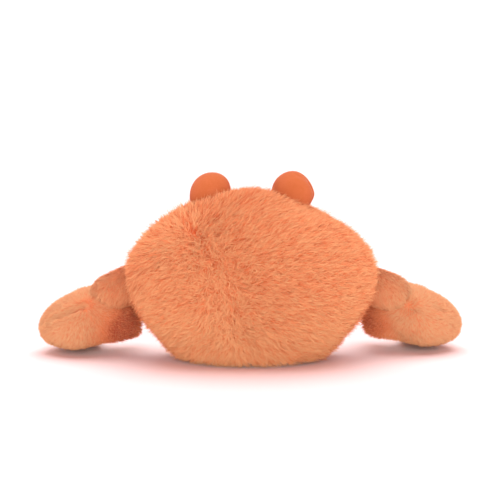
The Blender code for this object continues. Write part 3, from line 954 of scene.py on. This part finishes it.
class CRAB_OT_body(bpy.types.Operator):
    """Sew the body's long-pile back and short-pile front"""

    bl_idname = "crab.body"
    bl_label = "Body"

    def execute(self, context):
        sizes = context.scene.crab_sizes
        colours = context.scene.crab_colours
        rng = np.random.default_rng(11)
        form = Form(112, 64, "Y", body_shape)
        form.seam(*BODY_SEAM)
        half = form.rings // 2
        behind = form.unit[..., 1] < 0.0
        depths = [np.where(behind, *pair) for pair in zip(LONG_DEPTHS, SHORT_DEPTHS)]
        skin = form.sunk(depths[0])
        inner = form.sunk(depths[1])
        deep, pale, foot = (
            tuple(value * share for value, share in zip(colour, SHORT_DYE))
            for colour in (colours.pile_deep, colours.pile_pale, colours.pile_root)
        )
        foot = tuple(0.1 * foot[i] + 0.7 * deep[i] + 0.2 * pale[i] for i in range(3))
        lighter = tuple(1.06 * value for value in foot)
        long_backing = cloth_material("backing", *LONG_BACKING, 0.0006, 0.4)
        short_backing = cloth_material("short_backing", foot, lighter, 0.0006, 0.4)
        back, face = form.halves(skin, inner)
        add_panel("back_backing", back, long_backing, "body_back_panel")
        add_panel("face_backing", face, short_backing, "body_front_panel")
        add_stuffing("body", form, depths[2])

        long_pile = pile_material("long_pile_fibre", colours.pile_root[:], colours.pile_darkest_and_painted_shade[:],
                                  colours.pile_deep[:], colours.pile_pale[:], 0.1)
        root, normal = form.roots(skin, 0, half, sizes.back_strands, rng, off_the_floor(LONG_DEPTHS[0]))
        apart = np.linalg.norm(away_from_run(root, BACK_PARTING), axis=1)
        near = bell(apart, PARTING_REACH)
        flow = back_flow(root, normal, near)
        tint = back_tint(root, near, rng)
        swing = 0.42 + 0.6 * near + 1.4 * bell(apart, PARTING_CORE)
        inward = np.clip((SEAM_Y - root[:, 1]) / 0.022, 0.0, 1.0)
        lean = radians(26.0) + radians(18.0) * ease(inward)
        order = np.argsort(root[:, 0], kind="stable")
        for label, part in zip(("left", "middle", "right"), np.array_split(order, 3)):
            add_pile("back_pile_" + label, "long_pile", root[part], normal[part], flow[part], lean[part],
                     sizes.long_pile, LONG_WIDTH, tint[part], {**LONG_STYLE, "swing": swing[part]},
                     long_pile)

        short_pile = pile_material("short_pile_fibre", foot, colours.pile_darkest_and_painted_shade[:], deep, pale, 0.12)
        root, normal = form.roots(skin, half, form.rings, sizes.front_strands, rng,
                                  off_the_floor(SHORT_DEPTHS[0]))
        flow = along_skin(root * (6.0, 0.0, 0.0) + (0.0, 0.35, -1.0), normal)
        tint = 0.5 + 0.15 * rng.normal(size=len(root)) + 0.15 * soft_noise(root, 0.006, 6)
        add_pile("face_pile", "short_pile", root, normal, flow, radians(32.0), sizes.short_pile, FACE_WIDTH,
                 tint, FACE_STYLE, short_pile)
        return {"FINISHED"}


class CRAB_OT_claws(bpy.types.Operator):
    """Sew both claws with their short pile"""

    bl_idname = "crab.claws"
    bl_label = "Claws"

    def execute(self, context):
        sizes = context.scene.crab_sizes
        backing = bpy.data.materials["short_backing"]
        fibre = bpy.data.materials["short_pile_fibre"]
        for name, side in SIDES.items():
            rng = np.random.default_rng(30 + int(side))
            form = Form(140, 64, "Z", lambda unit: claw_shape(unit, side))
            form.seam(*CLAW_SEAM)
            form.crease(CLAW_CREASES[side])
            form.blend_with(lambda places: arm_gap(places, side))
            skin, inner = (form.sunk(depth) for depth in SHORT_DEPTHS[:2])
            add_stuffing(name + "_claw", form, SHORT_DEPTHS[2])
            for label, sheet in zip(("lower", "upper"), form.halves(skin, inner)):
                add_panel(f"{name}_claw_{label}_backing", sheet, backing,
                          f"{name}_claw_{label}_panel")
            root, normal = form.roots(skin, 0, form.rings, sizes.claw_strands, rng,
                                      off_the_floor(SHORT_DEPTHS[0]))
            seam_step = away_from_run(root, CLAW_CREASES[side][0][0])
            pinch = np.linalg.norm(root - to_world(CLAW_PINCH[side]), axis=1)
            flow = claw_flow(root, normal, seam_step, side)
            tint = claw_tint(root, seam_step, pinch, side, rng)
            swing = SHORT_STYLE["swing"] + 1.5 * bell(pinch, PINCH_REACH)
            lean = SHORT_LEAN - radians(42.0) * bell(pinch, 0.0025)
            add_pile(name + "_claw_pile", "short_pile", root, normal, flow, lean, sizes.short_pile,
                     SHORT_WIDTH, tint, {**SHORT_STYLE, "swing": swing}, fibre)
        return {"FINISHED"}


class CRAB_OT_arms(bpy.types.Operator):
    """Sew both stub arms with their short pile"""

    bl_idname = "crab.arms"
    bl_label = "Arms"

    def execute(self, context):
        sizes = context.scene.crab_sizes
        backing = bpy.data.materials["short_backing"]
        fibre = bpy.data.materials["short_pile_fibre"]
        for name, side in SIDES.items():
            rng = np.random.default_rng(50 + int(side))
            form = Form(60, 44, "X", lambda unit: arm_shape(unit, side))
            form.blend_with(lambda places: claw_gap(places, side))
            form.crease(ARM_CREASES[side])
            open_rings = (2, form.rings - 2)
            skin, inner = (form.sunk(depth) for depth in SHORT_DEPTHS[:2])
            add_stuffing(name + "_arm", form, SHORT_DEPTHS[2])
            add_panel(name + "_arm_backing", form.shell(skin, inner, *open_rings), backing,
                      name + "_arm_sleeve")
            root, normal = form.roots(skin, *open_rings, sizes.arm_strands, rng)
            flow = along_skin(0.0 * root + (0.25 * side, 0.0, -1.0), normal)
            # Painted shade and light: darker near the body, which shades the arm, paler out towards the
            # wrist, and the right arm painted a little paler than the left; the rest differs by chance
            outward = np.clip((root[:, 0] * side - 0.066) / 0.024, 0.0, 1.0)
            luck = 0.13 * rng.normal(size=len(root)) + 0.1 * soft_noise(root, 0.006, 10)
            tint = 0.2 + 0.06 * side + 0.5 * outward + luck
            add_pile(name + "_arm_pile", "short_pile", root, normal, flow, SHORT_LEAN, sizes.short_pile,
                     SHORT_WIDTH, tint, {**SHORT_STYLE, "seed": 51}, fibre)
        return {"FINISHED"}


class CRAB_OT_eyes(bpy.types.Operator):
    """Sew both felt eye knobs and set their bead eyes"""

    bl_idname = "crab.eyes"
    bl_label = "Eyes"

    def execute(self, context):
        colours = context.scene.crab_colours
        pale = tuple(min(1.0, value * 1.12 + 0.02) for value in colours.felt)
        felt = cloth_material("knob_felt", colours.felt[:], pale, 0.0005, 0.25, 0.9, 0.15)
        black = cloth_material("bead_gloss", *BEAD_BLACK, 0.0006, 0.02, 0.12, 0.0)
        for name, side in SIDES.items():
            form = Form(64, 40, "Y", lambda unit: knob_shape(unit, side))
            form.seam(*KNOB_SEAM)
            form.crease(KNOB_CREASES[side])
            halves = form.halves(form.place, form.sunk(FELT_THICKNESS))
            for label, sheet in zip(("back", "front"), halves):
                add_panel(f"{name}_knob_{label}_felt", sheet, felt, f"{name}_eye_knob_{label}")
            finish_node(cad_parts[name + "_eye_bead"], black)
        return {"FINISHED"}


class CRAB_OT_inside(bpy.types.Operator):
    """Finish the filling and the washers inside the crab"""

    bl_idname = "crab.inside"
    bl_label = "Inside"

    def execute(self, context):
        fibre = bpy.data.materials["filling_fibre"]
        nylon = cloth_material("washer_nylon", *NYLON_WHITE, 0.0008, 0.1, 0.4, 0.0)
        for name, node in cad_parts.items():
            if name.endswith("_filling"):
                finish_node(node, fibre)
            if name.endswith("_washer"):
                finish_node(node, nylon)
        return {"FINISHED"}


class CRAB_OT_stage(bpy.types.Operator):
    """Lay the floor, hang the lights and set the camera"""

    bl_idname = "crab.stage"
    bl_label = "Stage"

    def execute(self, context):
        scene = context.scene
        corners = [(x * FLOOR_HALF, y * FLOOR_HALF, 0.0) for x, y in ((-1, -1), (1, -1), (1, 1), (-1, 1))]
        paper, shader = new_material("floor_paper", FLOOR_COLOUR, 0.9)
        feed(shader, {"Emission Color": WHITE, "Emission Strength": FLOOR_GLOW})
        floor = mesh_object("floor", corners, [(0, 1, 2, 3)], paper)

        world = bpy.data.worlds.new("studio")
        scene.world = world
        world.use_nodes = True
        tree = world.node_tree
        glow = tree.nodes["Background"]
        feed(glow, {"Color": (*WORLD_LIGHT, 1.0)})
        backdrop = add_node(tree, "Background", {"Color": WHITE, "Strength": BACKDROP_STRENGTH})
        seen = tree.nodes.new("ShaderNodeLightPath").outputs["Is Camera Ray"]
        pick = add_node(tree, "MixShader", {
            "Fac": seen, 1: glow.outputs["Background"], 2: backdrop.outputs["Background"],
        })
        feed(tree.nodes["World Output"], {"Surface": pick.outputs["Shader"]})

        for name, (source, spread, strength) in SUNS.items():
            light = bpy.data.lights.new(name, "SUN")
            light.angle = radians(spread)
            light.energy = strength
            light.color = SUN_COLOUR
            lamp = bpy.data.objects.new(name, light)
            scene.collection.objects.link(lamp)
            lamp.rotation_euler = (-Vector(source)).to_track_quat("-Z", "Y").to_euler()

        lens = bpy.data.cameras.new("camera")
        lens.lens = LENS_MM
        lens.sensor_width = SENSOR_MM
        camera = bpy.data.objects.new("camera", lens)
        scene.collection.objects.link(camera)
        away = Vector((0.0, -cos(CAMERA_ELEVATION), sin(CAMERA_ELEVATION))) * CAMERA_DISTANCE
        camera.location = Vector(CAMERA_TARGET) + away
        camera.rotation_euler = (pi / 2.0 - CAMERA_ELEVATION, 0.0, 0.0)
        scene.camera = camera
        scene.view_settings.view_transform = "Standard"
        return {"FINISHED"}


class CRAB_PT_pieces(bpy.types.Panel):
    """The crab's sizes, colours and pieces"""

    bl_label = "Plush Crab"
    bl_idname = "CRAB_PT_pieces"
    bl_space_type = "VIEW_3D"
    bl_region_type = "UI"
    bl_category = "Plush Crab"

    def draw(self, context):
        for group in (context.scene.crab_sizes, context.scene.crab_colours):
            for name in group.bl_rna.properties.keys():
                if name not in ("rna_type", "name"):
                    self.layout.prop(group, name)
        for maker in OPERATORS:
            self.layout.operator(maker.bl_idname)


OPERATORS = (CRAB_OT_stage, CRAB_OT_body, CRAB_OT_arms, CRAB_OT_claws, CRAB_OT_eyes, CRAB_OT_inside)
CLASSES = (CrabSizes, CrabColours, *OPERATORS, CRAB_PT_pieces)


def register():
    """Register the classes and the scene's crab settings."""
    for item in CLASSES:
        bpy.utils.register_class(item)
    bpy.types.Scene.crab_sizes = PointerProperty(type=CrabSizes)
    bpy.types.Scene.crab_colours = PointerProperty(type=CrabColours)


def unregister():
    """Remove what register added."""
    del bpy.types.Scene.crab_sizes
    del bpy.types.Scene.crab_colours
    for item in reversed(CLASSES):
        bpy.utils.unregister_class(item)


def main():
    """Make every piece in order."""
    register()
    bpy.ops.crab.stage()
    bpy.ops.crab.body()
    bpy.ops.crab.arms()
    bpy.ops.crab.claws()
    bpy.ops.crab.eyes()
    bpy.ops.crab.inside()


if __name__ == "__main__":
    main()
